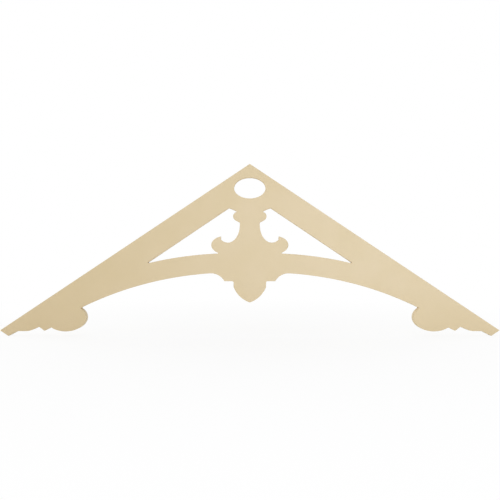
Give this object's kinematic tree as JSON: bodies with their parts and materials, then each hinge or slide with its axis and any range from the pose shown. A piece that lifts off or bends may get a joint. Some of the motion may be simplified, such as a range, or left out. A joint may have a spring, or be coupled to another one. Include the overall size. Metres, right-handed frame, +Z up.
{
  "type": "gable pediment",
  "caption": "Flat fret-cut gable board: raking top, arched lower edge, scroll feet, pierced openings, an eye at the peak and a hanging pendant point.",
  "frame": {"origin": "middle of the flat back's height, on the centre line", "axes": "+X to the right along the eave line, +Y out of the flat back towards the wall, +Z up towards the peak; the face looks along -Y"},
  "size_m": [1.8288, 0.0254, 0.6298],
  "materials": {
    "primed_board": "tan factory primer, matt, on a smooth cellular board with machined edges"
  },
  "bodies": {
    "root": {"gable_pediment": "primed_board"}
  },
  "joints": []
}
